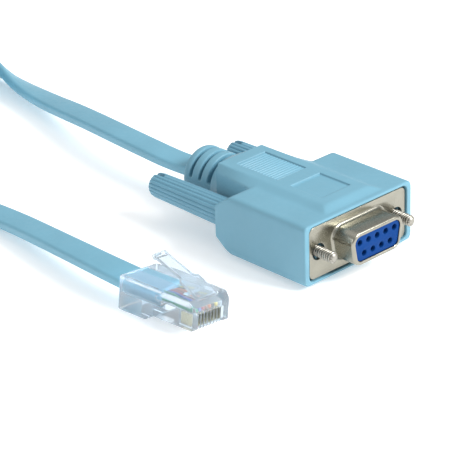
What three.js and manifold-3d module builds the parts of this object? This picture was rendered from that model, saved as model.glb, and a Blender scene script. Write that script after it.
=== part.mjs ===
// A serial console cable: a moulded nine-way D connector with two thumbscrews, a flat
// eight-core cable wound into a coil, and a clear eight-way modular plug with its latch.
// Millimetres. +X is the way the D connector mates, +Z is up, and everything lies on z = 0.
import * as THREE from "three";
import { mergeVertices } from "three/addons/utils/BufferGeometryUtils.js";
import Module from "manifold-3d";

const wasm = await Module();
wasm.setup();

const RAD = Math.PI / 180;
const clearance = 0.3;
const beyond = 1;

// The standard distance between the screws sets the width of the flange and of the hood
const screwSpacing = 24.99;
const flangeMargin = 2.91;
const flangeWidth = screwSpacing + 2 * flangeMargin;

// Hood of the D connector, measured from the front plane of its flange
const rimWidth = 1.795;
const hoodWidth = flangeWidth + 2 * rimWidth;
const hoodHeight = 14.6;
const rimProud = 0.4;
const hoodDepth = 28;
const hoodEdge = 2;
const shoulderRun = 4.8;
const shoulderDrop = 3.5;

// Raised crown that runs down the middle of the hood, alike on the top and the underside
const crownRise = 0.9;
const crownTop = 14;
const crownBase = 20.4;
const crownDrop = 1.3;
const crownStart = 3.3;
const crownBevel = 2.2;
const crownEnd = 37.4;
const crownRearBase = 15.6;
const crownRearDrop = 1.9;
const panelSize = 9.4;
const panelDepth = 0.35;
const panelStart = 6.7;
const gripStart = 20.4;
const gripLength = 12.6;
const gripWidth = 9;
const gripDepth = 0.35;

// Strain relief behind the crown
const neckEnd = 40.5;
const reliefRadius = 6.45;
const reliefEnd = 50.2;
const reliefRound = 1.2;
const reliefSlots = 3;
const slotPitch = 3;
const slotWidth = 0.8;
const slotDepth = 1.7;
const slotBridge = 2;

// Steel front with its flange and the D-shaped shell
const flangeHeight = 12.5;
const flangeThick = 1;
const flangeCorner = 1.4;
const shellReach = 6.1;
const shellWidth = 17.3;
const shellHeight = 8.1;
const shellSlope = 10;
const shellCorner = 2.5;
const shellWall = 0.45;

// Insulator and its sockets
const insulatorInset = 0.3;
const insulatorBack = 5.5;
const socketPitch = 2.77;
const rowSpacing = 2.84;
const entryBore = 1.4;
const entryDepth = 0.9;
const socketOutside = 1.5;
const socketBore = 1.05;
const socketLength = 7;

// Thumbscrews
const screwDiameter = 2.7;
const screwReach = 4.95;
const screwTip = 0.5;
const screwSlack = 0.4;
const flangeHole = 3.9;
const gripRadius = 3.4;
const gripEndRadius = 3;
const gripReach = 24.4;
const gripFlutes = 20;
const fluteDepth = 0.25;
const gripRound = 1.2;
const gripRelief = 0.45;
const gripSlot = 1.3;
const gripSlotDepth = 3.4;
const screwSeat = 9;

// Flat cable, its coil and the tie that holds it
const cableWidth = 7;
const cableThick = 2.4;
const cableCorner = 0.8;
const coilFront = -110.6;
const coilY = -21;
const coilMiddle = 36.9;
const turnSpacing = 2.58;
const turnsInLayer = 3.25;
const coilSlack = 0.1;
const layerGap = 0.2;
const tieThick = 0.8;
const tieLength = 8;

// Modular plug, measured from its nose and its lowest face
const plugX = 22.4;
const plugY = -45;
const plugYaw = 3.9;
const plugRoll = -7.7;
const plugWidth = 11.68;
const plugLength = 21.46;
const plugHeight = 7.86;
const noseRise = 1.42;
const stepStart = 11.16;
const stepEnd = 13.5;
const noseChamfer = 1.1;
const noseFront = 6.3;
const ways = 8;
const wayPitch = 1.02;
const slotHeight = 4.9;
const slotLength = 5;
const comb = 0.62;
const bladeThick = 0.3;
const bladeLength = 4.2;
const bladeSet = 0.35;
const bladeInset = 0.4;
const cableRise = 4.9;
const jacketStop = 10.8;
const wireDiameter = 0.62;
const wireRise = 5.35;
const wireStop = 1.2;
const wireBunch = 0.78;
const wireFan = 2;

// Latch of the modular plug
const latchRootX = 1.5;
const latchRootRise = 0.34;
const latchThick = 0.8;
const latchShoulder = 6.1;
const latchShoulderStart = 3.1;
const latchShoulderRise = 1;
const latchShoulderEnd = 6.8;
const latchBendRise = 2.6;
const latchArm = 3.4;
const latchEnd = 15.9;
const latchEndRise = 5.35;
const latchPocket = 0.75;
const latchPocketEnd = 5.2;

const material = (color, roughness, metalness, opacity = 1) =>
  new THREE.MeshStandardMaterial({
    color,
    roughness,
    metalness,
    opacity,
    transparent: opacity < 1,
  });
const hoodBlue = material(0x86b9d0, 0.5, 0);
const gripBlue = material(0x7fb0ca, 0.5, 0);
const cableBlue = material(0x3c93bd, 0.45, 0);
const insulatorBlue = material(0x2a5cb0, 0.45, 0);
const nickel = material(0xb4b1a6, 0.3, 1);
const steel = material(0x9b9a94, 0.35, 1);
const gold = material(0xcaa35a, 0.3, 1);
const clear = material(0xe6eef2, 0.1, 0, 0.35);
const tieBlack = material(0x1e1f21, 0.6, 0);
const coreColours = [0x12905a, 0x2f62c4, 0xc4281f, 0x7a4a2b, 0xe07a1f, 0x20242a, 0xe5c62b, 0x9aa3a8];

// A closed geometry as a solid that can be joined and cut, and a solid as a geometry again
function solid(geometry) {
  geometry.deleteAttribute("normal");
  geometry.deleteAttribute("uv");
  const merged = mergeVertices(geometry, 1e-4);
  const mesh = new wasm.Mesh({
    numProp: 3,
    vertProperties: merged.attributes.position.array,
    triVerts: new Uint32Array(merged.index.array),
  });
  return new wasm.Manifold(mesh);
}

function geometryOf(made) {
  const mesh = made.getMesh();
  const geometry = new THREE.BufferGeometry();
  geometry.setAttribute("position", new THREE.BufferAttribute(mesh.vertProperties, 3));
  geometry.setIndex(new THREE.BufferAttribute(mesh.triVerts, 1));
  geometry.computeVertexNormals();
  return geometry;
}

const cut = (first, ...rest) => rest.reduce((whole, piece) => whole.subtract(piece), first);

const group = new THREE.Group();
const connector = new THREE.Group();
const plug = new THREE.Group();

function place(parent, name, geometry, look) {
  const mesh = new THREE.Mesh(geometry, look);
  mesh.name = name;
  parent.add(mesh);
  return mesh;
}

// Extrusions: along X from an outline in Y and Z, and across Y from an outline in X and Z
const alongXBasis = new THREE.Matrix4().makeBasis(
  new THREE.Vector3(0, 1, 0),
  new THREE.Vector3(0, 0, 1),
  new THREE.Vector3(1, 0, 0),
);
const acrossYBasis = new THREE.Matrix4().makeBasis(
  new THREE.Vector3(1, 0, 0),
  new THREE.Vector3(0, 0, 1),
  new THREE.Vector3(0, -1, 0),
);

function alongX(shape, from, to, curveSegments = 4) {
  const depth = to - from;
  const geometry = new THREE.ExtrudeGeometry(shape, { depth, bevelEnabled: false, curveSegments });
  return geometry.applyMatrix4(alongXBasis).translate(from, 0, 0);
}

function acrossY(shape, width) {
  const geometry = new THREE.ExtrudeGeometry(shape, { depth: width, bevelEnabled: false });
  return geometry.applyMatrix4(acrossYBasis).translate(0, width / 2, 0);
}

function box(fromX, toX, fromY, toY, fromZ, toZ) {
  const geometry = new THREE.BoxGeometry(toX - fromX, toY - fromY, toZ - fromZ);
  return geometry.translate((fromX + toX) / 2, (fromY + toY) / 2, (fromZ + toZ) / 2);
}

function rod(radius, fromX, toX, y, z, sides, endRadius = radius) {
  const geometry = new THREE.CylinderGeometry(endRadius, radius, toX - fromX, sides);
  return geometry.rotateZ(-Math.PI / 2).translate((fromX + toX) / 2, y, z);
}

const outline = (corners) => new THREE.Shape(corners.map(([a, b]) => new THREE.Vector2(a, b)));

// An outline whose corners are rounded by the same radius
function roundedOutline(corners, radius) {
  const points = corners.map(([a, b]) => new THREE.Vector2(a, b));
  const shape = new THREE.Shape();
  points.forEach((corner, i) => {
    const toLast = points[(i + points.length - 1) % points.length].clone().sub(corner).normalize();
    const toNext = points[(i + 1) % points.length].clone().sub(corner).normalize();
    const half = Math.acos(toLast.dot(toNext)) / 2;
    const reach = radius / Math.tan(half);
    const start = corner.clone().addScaledVector(toLast, reach);
    const end = corner.clone().addScaledVector(toNext, reach);
    if (i === 0) shape.moveTo(start.x, start.y);
    else shape.lineTo(start.x, start.y);
    shape.quadraticCurveTo(corner.x, corner.y, end.x, end.y);
  });
  shape.closePath();
  return shape;
}

const roundedBox = (width, height, radius) =>
  roundedOutline(
    [
      [-width / 2, -height / 2],
      [width / 2, -height / 2],
      [width / 2, height / 2],
      [-width / 2, height / 2],
    ],
    radius,
  );

// The D outline, wide at the top, drawn in from the shell's outside by inset
function dOutline(inset) {
  const height = shellHeight - 2 * inset;
  const lean = Math.tan(shellSlope * RAD);
  const middle = shellWidth / 2 - (shellHeight / 2) * lean - inset / Math.cos(shellSlope * RAD);
  const top = middle + (height / 2) * lean;
  const bottom = middle - (height / 2) * lean;
  return roundedOutline(
    [
      [-bottom, -height / 2],
      [bottom, -height / 2],
      [top, height / 2],
      [-top, height / 2],
    ],
    shellCorner - inset,
  );
}

// A solid between rings of points that lie one behind the other, closed at both ends
function loft(rings) {
  const sides = rings[0].length;
  const positions = [];
  const centre = (ring) =>
    ring.reduce((sum, point) => sum.add(point), new THREE.Vector3()).divideScalar(sides);
  const push = (...points) => points.forEach((point) => positions.push(point.x, point.y, point.z));
  const first = centre(rings[0]);
  const last = centre(rings[rings.length - 1]);
  for (let i = 0; i < sides; i++) {
    const j = (i + 1) % sides;
    push(first, rings[0][j], rings[0][i]);
    for (let k = 0; k + 1 < rings.length; k++) {
      push(rings[k][i], rings[k][j], rings[k + 1][j]);
      push(rings[k][i], rings[k + 1][j], rings[k + 1][i]);
    }
    push(last, rings[rings.length - 1][i], rings[rings.length - 1][j]);
  }
  const geometry = new THREE.BufferGeometry();
  geometry.setAttribute("position", new THREE.Float32BufferAttribute(positions, 3));
  return geometry;
}

// Where each ring of a rounded end stands, and its radius
const roundedEnd = (x, radius, round) =>
  [0, 45, 90].map((angle) => [
    x + round * (1 - Math.cos(angle * RAD)),
    radius - round * (1 - Math.sin(angle * RAD)),
  ]);

const screwSides = [-1, 1];
const sideNames = { "-1": "left", 1: "right" };
const screwY = (side) => (side * screwSpacing) / 2;
const crownHalf = hoodHeight / 2 + crownRise;

// Crown section: flat top and underside with sloping shoulders, and points along each side
function crownSection(base, drop) {
  const corners = [
    [base / 2, crownHalf - drop],
    [crownTop / 2, crownHalf],
    [-crownTop / 2, crownHalf],
    [-base / 2, crownHalf - drop],
    [-base / 2, -crownHalf + drop],
    [-crownTop / 2, -crownHalf],
    [crownTop / 2, -crownHalf],
    [base / 2, -crownHalf + drop],
  ].map(([y, z]) => new THREE.Vector2(y, z));
  const perSide = 3;
  return corners.flatMap((corner, i) => {
    const next = corners[(i + 1) % corners.length];
    return Array.from({ length: perSide }, (_, k) => corner.clone().lerp(next, k / perSide));
  });
}

// The crown narrows behind the shoulders, and its neck goes over to the round strain relief
function crownAndRelief() {
  const at = (x, section) => section.map((p) => new THREE.Vector3(x, p.x, p.y));
  const full = crownSection(crownBase, crownDrop);
  const narrow = crownSection(crownRearBase, crownRearDrop);
  const round = (radius) => full.map((p) => p.clone().setLength(radius));
  const body = solid(
    loft([
      ...roundedEnd(-reliefEnd, reliefRadius, reliefRound).map(([x, radius]) => at(x, round(radius))),
      at(-neckEnd, round(reliefRadius)),
      at(-crownEnd, narrow),
      at(-hoodDepth + shoulderRun, full),
      at(-crownStart + crownBevel, full),
    ]),
  );
  const profile = outline([
    [-crownStart + crownBevel, -crownHalf + crownRise],
    [-crownStart + crownBevel, crownHalf - crownRise],
    [-crownStart, crownHalf],
    [-reliefEnd - beyond, crownHalf],
    [-reliefEnd - beyond, -crownHalf],
    [-crownStart, -crownHalf],
  ]);
  return body.intersect(solid(acrossY(profile, crownBase + beyond)));
}

// The same shallow rectangle sunk into the top and the underside of the crown
const recessPair = (start, length, width, depth) =>
  [1, -1].map((up) => {
    const cutter = box(-start - length, -start, -width / 2, width / 2, -depth, beyond);
    return solid(cutter.translate(0, 0, crownHalf).rotateX(up > 0 ? 0 : Math.PI));
  });

function hood() {
  const rear = -hoodDepth;
  const block = solid(alongX(roundedBox(hoodWidth, hoodHeight, hoodEdge), rear, rimProud));
  const sideProfile = outline([
    [rimProud + beyond, -hoodHeight / 2],
    [rimProud + beyond, hoodHeight / 2],
    [rear + shoulderRun, hoodHeight / 2],
    [rear, hoodHeight / 2 - shoulderDrop],
    [rear, -hoodHeight / 2 + shoulderDrop],
    [rear + shoulderRun, -hoodHeight / 2],
  ]);
  const shouldered = block.intersect(solid(acrossY(sideProfile, hoodWidth + beyond)));

  const cuts = [];
  for (let i = 0; i < reliefSlots; i++) {
    const x = -neckEnd - slotWidth - i * slotPitch;
    const wide = reliefRadius + beyond;
    const disc = solid(rod(wide, x - slotWidth / 2, x + slotWidth / 2, 0, 0, 12));
    const core = solid(rod(reliefRadius - slotDepth, x - slotWidth, x + slotWidth, 0, 0, 16));
    const bridge = solid(box(x - slotWidth, x + slotWidth, -wide, wide, -slotBridge / 2, slotBridge / 2));
    cuts.push(cut(disc, core, bridge));
  }
  cuts.push(...recessPair(panelStart, panelSize, panelSize, panelDepth));
  cuts.push(...recessPair(gripStart, gripLength, gripWidth, gripDepth));
  const pocketDepth = flangeThick + clearance;
  const pocket = roundedBox(flangeWidth + 2 * clearance, flangeHeight + 2 * clearance, flangeCorner);
  cuts.push(solid(alongX(pocket, -pocketDepth, rimProud + beyond)));
  cuts.push(solid(alongX(dOutline(shellWall), -insulatorBack - clearance, beyond)));
  for (const side of screwSides) {
    const bore = screwDiameter / 2 + screwSlack;
    cuts.push(solid(rod(bore, rear - beyond, beyond, screwY(side), 0, 12)));
    const scoop = gripRadius + gripRelief;
    cuts.push(solid(rod(scoop, -reliefEnd - beyond, rear, screwY(side), 0, 20)));
  }
  place(connector, "hood", geometryOf(cut(shouldered.add(crownAndRelief()), ...cuts)), hoodBlue);
}

function frontShell() {
  const plate = solid(alongX(roundedBox(flangeWidth, flangeHeight, flangeCorner), -flangeThick, 0));
  const wall = solid(alongX(dOutline(0), -flangeThick, shellReach));
  const opening = solid(alongX(dOutline(shellWall), -flangeThick - beyond, shellReach + beyond));
  const holes = screwSides.map((side) =>
    solid(rod(flangeHole / 2, -flangeThick - beyond, beyond, screwY(side), 0, 16)),
  );
  place(connector, "front_shell", geometryOf(cut(plate.add(wall), opening, ...holes)), nickel);
}

// Five sockets in the top row and four between them below
const socketPlaces = [];
for (let i = 0; i < 5; i++) socketPlaces.push([(i - 2) * socketPitch, rowSpacing / 2]);
for (let i = 0; i < 4; i++) socketPlaces.push([(i - 1.5) * socketPitch, -rowSpacing / 2]);

function insulator() {
  const front = shellReach - insulatorInset;
  const chamber = socketOutside / 2 + clearance;
  const body = solid(alongX(dOutline(shellWall + clearance), -insulatorBack, front));
  const bores = socketPlaces.map(([y, z]) => {
    const entry = solid(rod(entryBore / 2, front - entryDepth - beyond, front + beyond, y, z, 10));
    const back = front - entryDepth - socketLength - 2 * clearance;
    return entry.add(solid(rod(chamber, back, front - entryDepth, y, z, 10)));
  });
  place(connector, "insulator", geometryOf(cut(body, ...bores)), insulatorBlue);

  const start = front - entryDepth - clearance;
  const end = start - socketLength;
  socketPlaces.forEach(([y, z], i) => {
    const profile = [
      new THREE.Vector2(socketBore / 2, end),
      new THREE.Vector2(socketOutside / 2, end),
      new THREE.Vector2(socketOutside / 2, start),
      new THREE.Vector2(socketBore / 2, start),
      new THREE.Vector2(socketBore / 2, end),
    ];
    const socket = new THREE.LatheGeometry(profile, 8).rotateZ(-Math.PI / 2).translate(0, y, z);
    place(connector, `socket_${i + 1}`, socket, gold);
  });
}

function thumbscrew(side) {
  const y = screwY(side);
  const seat = -hoodDepth - clearance;
  const shank = seat - screwSeat;
  const radius = screwDiameter / 2;
  const rodSolid = solid(rod(radius, shank, screwReach - screwTip, y, 0, 14));
  const tip = solid(rod(radius, screwReach - screwTip, screwReach, y, 0, 14, radius - screwTip));
  place(connector, `screw_${sideNames[side]}`, geometryOf(rodSolid.add(tip)), steel);

  const points = 2 * gripFlutes;
  const ring = (x, wide) =>
    Array.from({ length: points }, (_, i) => {
      const angle = (i / points) * 2 * Math.PI;
      const out = wide - (i % 2) * fluteDepth;
      return new THREE.Vector3(x, y + out * Math.cos(angle), out * Math.sin(angle));
    });
  const end = seat - gripReach;
  const stations = [...roundedEnd(end, gripEndRadius, gripRound), [seat, gripRadius]];
  const fluted = solid(loft(stations.map(([x, wide]) => ring(x, wide))));
  const bore = solid(rod(radius + clearance, shank - clearance, seat + beyond, y, 0, 14));
  const slot = solid(
    box(end - beyond, end + gripSlotDepth, y - gripSlot / 2, y + gripSlot / 2, -gripRadius, gripRadius),
  );
  place(connector, `grip_${sideNames[side]}`, geometryOf(cut(fluted, bore, slot)), gripBlue);
}

// A length of flat cable: an extruded section bent along a curve, flat at roll 0, on edge at 90
function flatRun(name, route, steps) {
  const points = route.map(([x, y, z]) => new THREE.Vector3(x, y, z));
  const path = new THREE.CatmullRomCurve3(points, false, "centripetal");
  const section = roundedBox(cableWidth, cableThick, cableCorner);
  const geometry = new THREE.ExtrudeGeometry(section, {
    depth: 1,
    steps,
    bevelEnabled: false,
    curveSegments: 1,
  });
  const position = geometry.attributes.position;
  const up = new THREE.Vector3(0, 0, 1);
  for (let i = 0; i < position.count; i++) {
    const share = position.getZ(i);
    const tangent = path.getTangentAt(share);
    const level = new THREE.Vector3().crossVectors(up, tangent).normalize();
    const above = new THREE.Vector3().crossVectors(tangent, level);
    const along = path.getUtoTmapping(share) * (route.length - 1);
    const from = Math.min(Math.floor(along), route.length - 2);
    const roll = THREE.MathUtils.lerp(route[from][3], route[from + 1][3], along - from) * RAD;
    const wide = level.clone().multiplyScalar(Math.cos(roll)).addScaledVector(above, Math.sin(roll));
    const thick = above.clone().multiplyScalar(Math.cos(roll)).addScaledVector(level, -Math.sin(roll));
    const at = path.getPointAt(share);
    at.addScaledVector(wide, position.getX(i)).addScaledVector(thick, position.getY(i));
    position.setXYZ(i, at.x, at.y, at.z);
  }
  geometry.deleteAttribute("normal");
  geometry.deleteAttribute("uv");
  const smooth = mergeVertices(geometry, 1e-4);
  smooth.computeVertexNormals();
  place(group, name, smooth, cableBlue);
}

// The middle of the connector's length stands over the origin
const connectorX = (hoodDepth + clearance + gripReach - shellReach) / 2;
connector.position.set(connectorX, 0, crownHalf);
plug.position.set(plugX, plugY, (plugWidth / 2) * Math.sin(-plugRoll * RAD));
plug.rotation.set(plugRoll * RAD, 0, plugYaw * RAD, "ZYX");
plug.updateMatrix();

const halfBuild = (turnsInLayer * turnSpacing) / 2;
const coilInside = coilMiddle - halfBuild - cableThick / 2 - coilSlack;
const coilOutside = coilMiddle + halfBuild + cableThick / 2 + coilSlack;
const coilLow = tieThick + clearance;
const coilHigh = coilLow + 2 * cableWidth + layerGap;
const coilX = coilFront - coilOutside;

// Height of the cable's middle where it lies on the table with this roll
const resting = (roll) =>
  (cableWidth / 2) * Math.abs(Math.sin(roll * RAD)) + (cableThick / 2) * Math.cos(roll * RAD);
// A route point: how far the cable is lifted off the table, and its roll
const lifted = (x, y, lift, roll) => [x, y, resting(roll) + lift, roll];
// A route point at the coil's side, back from the place where the cable joins the outer turn
const atCoil = (side, back, outward, z, roll) => [
  coilX + back,
  coilY + side * (coilMiddle + halfBuild + outward),
  z,
  roll,
];
const inPlug = (x) => [...new THREE.Vector3(x, 0, cableRise).applyMatrix4(plug.matrix), -plugRoll];

// From the strain relief, down to the table and to the coil's lower layer, on edge there
const serialRoute = [
  [connectorX - reliefEnd - clearance, 0, crownHalf, 0],
  [-36, -0.4, crownHalf, 0],
  lifted(-46, 0.3, 6.9, 0),
  lifted(-58, 1.9, 6.4, 0),
  lifted(-70, 4.2, 5.4, 0),
  lifted(-82, 6.8, 4, 0),
  lifted(-94, 9.4, 2.2, 6),
  lifted(-106, 11.8, 0.8, 22),
  lifted(-117, 14.2, 0.3, 50),
  atCoil(1, 26, -3.4, coilLow + cableWidth / 2 - 0.3, 76),
  atCoil(1, 18, -0.5, coilLow + cableWidth / 2, 90),
];

// From inside the plug, down to the table and up to the coil's upper layer
const plugRoute = [
  inPlug(-jacketStop),
  inPlug(-plugLength),
  lifted(-8, -45.8, 4.2, 5),
  lifted(-20, -44.7, 3.8, 2),
  lifted(-32, -43.2, 3, 0),
  lifted(-46, -41.4, 1.7, 0),
  lifted(-60, -40.7, 0.6, 0),
  lifted(-74, -42, 0.2, -8),
  lifted(-88, -45.5, 0.4, -28),
  lifted(-101, -50.4, 1.6, -52),
  lifted(-114, -55.7, 4.2, -74),
  atCoil(-1, 27, -2, coilHigh - cableWidth / 2 - 1.5, -88),
  atCoil(-1, 16, 0, coilHigh - cableWidth / 2, -90),
];

function coil() {
  const profile = [
    new THREE.Vector2(coilInside, coilLow),
    new THREE.Vector2(coilOutside, coilLow),
    new THREE.Vector2(coilOutside, coilHigh),
    new THREE.Vector2(coilInside, coilHigh),
    new THREE.Vector2(coilInside, coilLow),
  ];
  const ring = new THREE.LatheGeometry(profile, 48).rotateX(Math.PI / 2).translate(coilX, coilY, 0);
  place(group, "cable_coil", ring, cableBlue);

  // The tie is straight across the ring's inside, which curves towards it by sag
  const sag = tieLength ** 2 / (8 * coilInside);
  const innerX = coilInside - clearance - sag;
  const outerX = coilOutside + clearance;
  const top = coilHigh + clearance;
  const loop = outline([
    [-outerX - tieThick, 0],
    [-innerX + tieThick, 0],
    [-innerX + tieThick, top + tieThick],
    [-outerX - tieThick, top + tieThick],
  ]);
  loop.holes.push(
    outline([
      [-outerX, tieThick],
      [-innerX, tieThick],
      [-innerX, top],
      [-outerX, top],
    ]),
  );
  place(group, "coil_tie", acrossY(loop, tieLength).translate(coilX, coilY, 0), tieBlack);
}

// Modular plug in its own frame: x runs forward to the nose, z up from its lowest face
const wayY = (i) => (i - (ways - 1) / 2) * wayPitch;

function plugBody() {
  const side = outline([
    [-plugLength, 0],
    [-stepEnd, 0],
    [-stepStart, noseRise],
    [0, noseRise],
    [0, noseFront],
    [-noseChamfer, plugHeight],
    [-plugLength, plugHeight],
  ]);
  const body = solid(acrossY(side, plugWidth));
  const high = cableThick / 2 + clearance;
  const wide = cableWidth / 2 + clearance;
  const throatEnd = -jacketStop + clearance;
  const throat = box(-plugLength - beyond, throatEnd, -wide, wide, cableRise - high, cableRise + high);
  const spread = (ways * wayPitch) / 2 + clearance;
  const room = wireDiameter / 2 + clearance;
  const wiresEnd = -wireStop + clearance;
  const channel = box(throatEnd - beyond, wiresEnd, -spread, spread, wireRise - room, wireRise + room);
  const pocketWide = latchShoulder / 2 + clearance;
  const pocketFloor = plugHeight - latchPocket;
  const pocketFront = -latchRootX + clearance;
  const above = plugHeight + beyond;
  const pocket = box(-latchPocketEnd, pocketFront, -pocketWide, pocketWide, pocketFloor, above);
  const cuts = [throat, channel, pocket];
  for (let i = 0; i < ways; i++) {
    cuts.push(box(-slotLength, beyond, wayY(i) - comb / 2, wayY(i) + comb / 2, 0, slotHeight));
  }
  place(plug, "plug_body", geometryOf(cut(body, ...cuts.map(solid))), clear);
}

// The gold blades stand under the ends of the wires, which fan out from the jacket
function plugContacts() {
  const low = noseRise + bladeInset;
  const high = wireRise - wireDiameter / 2 - clearance;
  const thick = bladeThick / 2;
  for (let i = 0; i < ways; i++) {
    const y = wayY(i);
    const blade = box(-bladeSet - bladeLength, -bladeSet, y - thick, y + thick, low, high);
    place(plug, `plug_contact_${i + 1}`, blade, gold);

    const bunched = (y / wayPitch) * wireBunch;
    const path = new THREE.CatmullRomCurve3([
      new THREE.Vector3(-jacketStop + clearance, bunched, wireRise),
      new THREE.Vector3(-jacketStop + wireFan, bunched, wireRise),
      new THREE.Vector3(-slotLength - clearance, y, wireRise),
      new THREE.Vector3(-wireStop, y, wireRise),
    ]);
    const section = new THREE.Shape().absarc(0, 0, wireDiameter / 2, 0, 2 * Math.PI);
    const wire = new THREE.ExtrudeGeometry(section, { steps: 6, curveSegments: 8, extrudePath: path });
    place(plug, `wire_${i + 1}`, wire, material(coreColours[i], 0.45, 0));
  }
}

// The latch springs up from its root, near the nose, and is widest at its shoulder
function plugLatch() {
  const line = [
    [-latchRootX, plugHeight + latchRootRise],
    [-latchShoulderStart, plugHeight + latchShoulderRise],
    [-latchShoulderEnd, plugHeight + latchBendRise],
    [-latchEnd, plugHeight + latchEndRise],
  ];
  const underside = ([x, z]) => [x, z - latchThick];
  const strip = (points) => outline([...points, ...points.map(underside).reverse()]);
  const arm = solid(acrossY(strip(line), latchArm));
  const shoulder = solid(acrossY(strip(line.slice(1, 3)), latchShoulder));
  place(plug, "plug_latch", geometryOf(arm.add(shoulder)), clear);
}

hood();
frontShell();
insulator();
screwSides.forEach(thumbscrew);
flatRun("cable_run_serial", serialRoute, 14);
flatRun("cable_run_plug", plugRoute, 18);
coil();
plugBody();
plugContacts();
plugLatch();
group.add(connector, plug);

export default group;
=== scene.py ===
"""Looks for a flat serial console cable: nine-way connector, clear plug, coiled spare length."""

import math

import bmesh
import bpy
import numpy as np
from mathutils import Matrix, Vector


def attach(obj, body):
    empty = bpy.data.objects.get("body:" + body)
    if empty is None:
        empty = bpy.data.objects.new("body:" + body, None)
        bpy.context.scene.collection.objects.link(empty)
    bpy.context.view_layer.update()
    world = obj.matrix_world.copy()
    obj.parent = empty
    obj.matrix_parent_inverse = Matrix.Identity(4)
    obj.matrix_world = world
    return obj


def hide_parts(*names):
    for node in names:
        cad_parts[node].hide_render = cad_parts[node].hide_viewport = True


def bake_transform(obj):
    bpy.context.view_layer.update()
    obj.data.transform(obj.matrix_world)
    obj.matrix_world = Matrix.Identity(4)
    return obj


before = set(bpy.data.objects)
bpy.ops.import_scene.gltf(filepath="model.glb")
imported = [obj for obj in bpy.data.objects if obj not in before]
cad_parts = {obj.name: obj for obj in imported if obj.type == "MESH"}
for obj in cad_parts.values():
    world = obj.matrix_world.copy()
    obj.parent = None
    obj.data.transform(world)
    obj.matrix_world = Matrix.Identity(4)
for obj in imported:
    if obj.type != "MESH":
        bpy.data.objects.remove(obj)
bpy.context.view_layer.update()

MM = 0.001

# Sizes in millimetres that more than one piece uses
WAYS, WAY_PITCH = 8, 1.02
HOLE_PITCH, HOLE_ROW = 2.77, 1.42
SCREW_Y = 24.99 / 2
SHELL_WIDTH, SHELL_HEIGHT, SHELL_REACH = 17.3, 8.1, 6.1
FLANGE_WIDTH, FLANGE_HEIGHT = 30.81, 12.5
CROWN_TOP = 8.2
PLUG_HALF_WIDTH, PLUG_REAR = 5.84, -21.46
PLUG_TILT, PLUG_TURN = 7.7, 3.9

# The signs of a rectangle's corners, in the order of their quarter turns
QUARTERS = ((1, 1), (-1, 1), (-1, -1), (1, -1))
CORE_COLOURS = {
    "green": (0.004, 0.300, 0.150),
    "blue": (0.020, 0.080, 0.400),
    "red": (0.450, 0.025, 0.012),
    "brown": (0.260, 0.075, 0.025),
    "orange": (0.700, 0.160, 0.012),
    "black": (0.010, 0.011, 0.013),
    "yellow": (0.720, 0.520, 0.030),
    "grey": (0.330, 0.350, 0.370),
}

# Where the connector's flange plane and the plug's nose stand, in millimetres
CONNECTOR = Matrix.Translation((23.3, 0, CROWN_TOP))
PLUG = (
    Matrix.Translation((22.4, -45, PLUG_HALF_WIDTH * math.sin(math.radians(PLUG_TILT))))
    @ Matrix.Rotation(math.radians(PLUG_TURN), 4, "Z")
    @ Matrix.Rotation(math.radians(-PLUG_TILT), 4, "X")
)


# Camera and studio

def photo_camera():
    """The camera of the photograph, fitted to the nine contact holes and the flange."""
    around, above, roll = (math.radians(a) for a in (46.59, 25.71, -1.73))
    target, distance = Vector((23.3, -40.16, 24.21)), 521.92
    photo_pixels, focal_pixels = 452, 2500
    back = Vector((
        math.sin(around) * math.cos(above),
        -math.cos(around) * math.cos(above),
        math.sin(above),
    ))
    level = Vector((0, 0, 1)).cross(back).normalized()
    upright = back.cross(level)
    right = level * math.cos(roll) + upright * math.sin(roll)
    up = upright * math.cos(roll) - level * math.sin(roll)
    place = (target + back * distance) * MM
    lens = bpy.data.cameras.new("photo_camera")
    lens.sensor_width = 36
    lens.lens = lens.sensor_width * focal_pixels / photo_pixels
    lens.clip_start = 0.01
    camera = bpy.data.objects.new("photo_camera", lens)
    camera.matrix_world = Matrix((
        (right.x, up.x, back.x, place.x),
        (right.y, up.y, back.y, place.y),
        (right.z, up.z, back.z, place.z),
        (0, 0, 0, 1),
    ))
    bpy.context.scene.collection.objects.link(camera)
    bpy.context.scene.camera = camera


def softbox(name, place, aim, size, power):
    lamp = bpy.data.lights.new(name, "AREA")
    lamp.shape = "RECTANGLE"
    lamp.size, lamp.size_y = size
    lamp.energy = power
    box = bpy.data.objects.new(name, lamp)
    box.location = place
    box.rotation_euler = (Vector(aim) - Vector(place)).to_track_quat("-Z", "Y").to_euler()
    bpy.context.scene.collection.objects.link(box)


def studio():
    world = bpy.data.worlds.new("studio_air")
    world.use_nodes = True
    air = world.node_tree.nodes["Background"]
    air.inputs["Color"].default_value = (1.0, 1.0, 1.0, 1)
    air.inputs["Strength"].default_value = 0.50
    bpy.context.scene.world = world
    softbox("softbox_above", (-0.15, 0.05, 0.9), (0, -0.02, 0), (1.1, 1.1), 1.6)
    softbox("softbox_key", (0.72, 0.36, 0.62), (0.01, -0.01, 0.01), (0.45, 0.45), 12.5)
    softbox("softbox_near", (-0.25, -0.85, 0.40), (0, -0.02, 0.01), (0.7, 0.4), 2.0)
    bpy.context.scene.view_settings.view_transform = "Standard"


# Finishes

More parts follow.
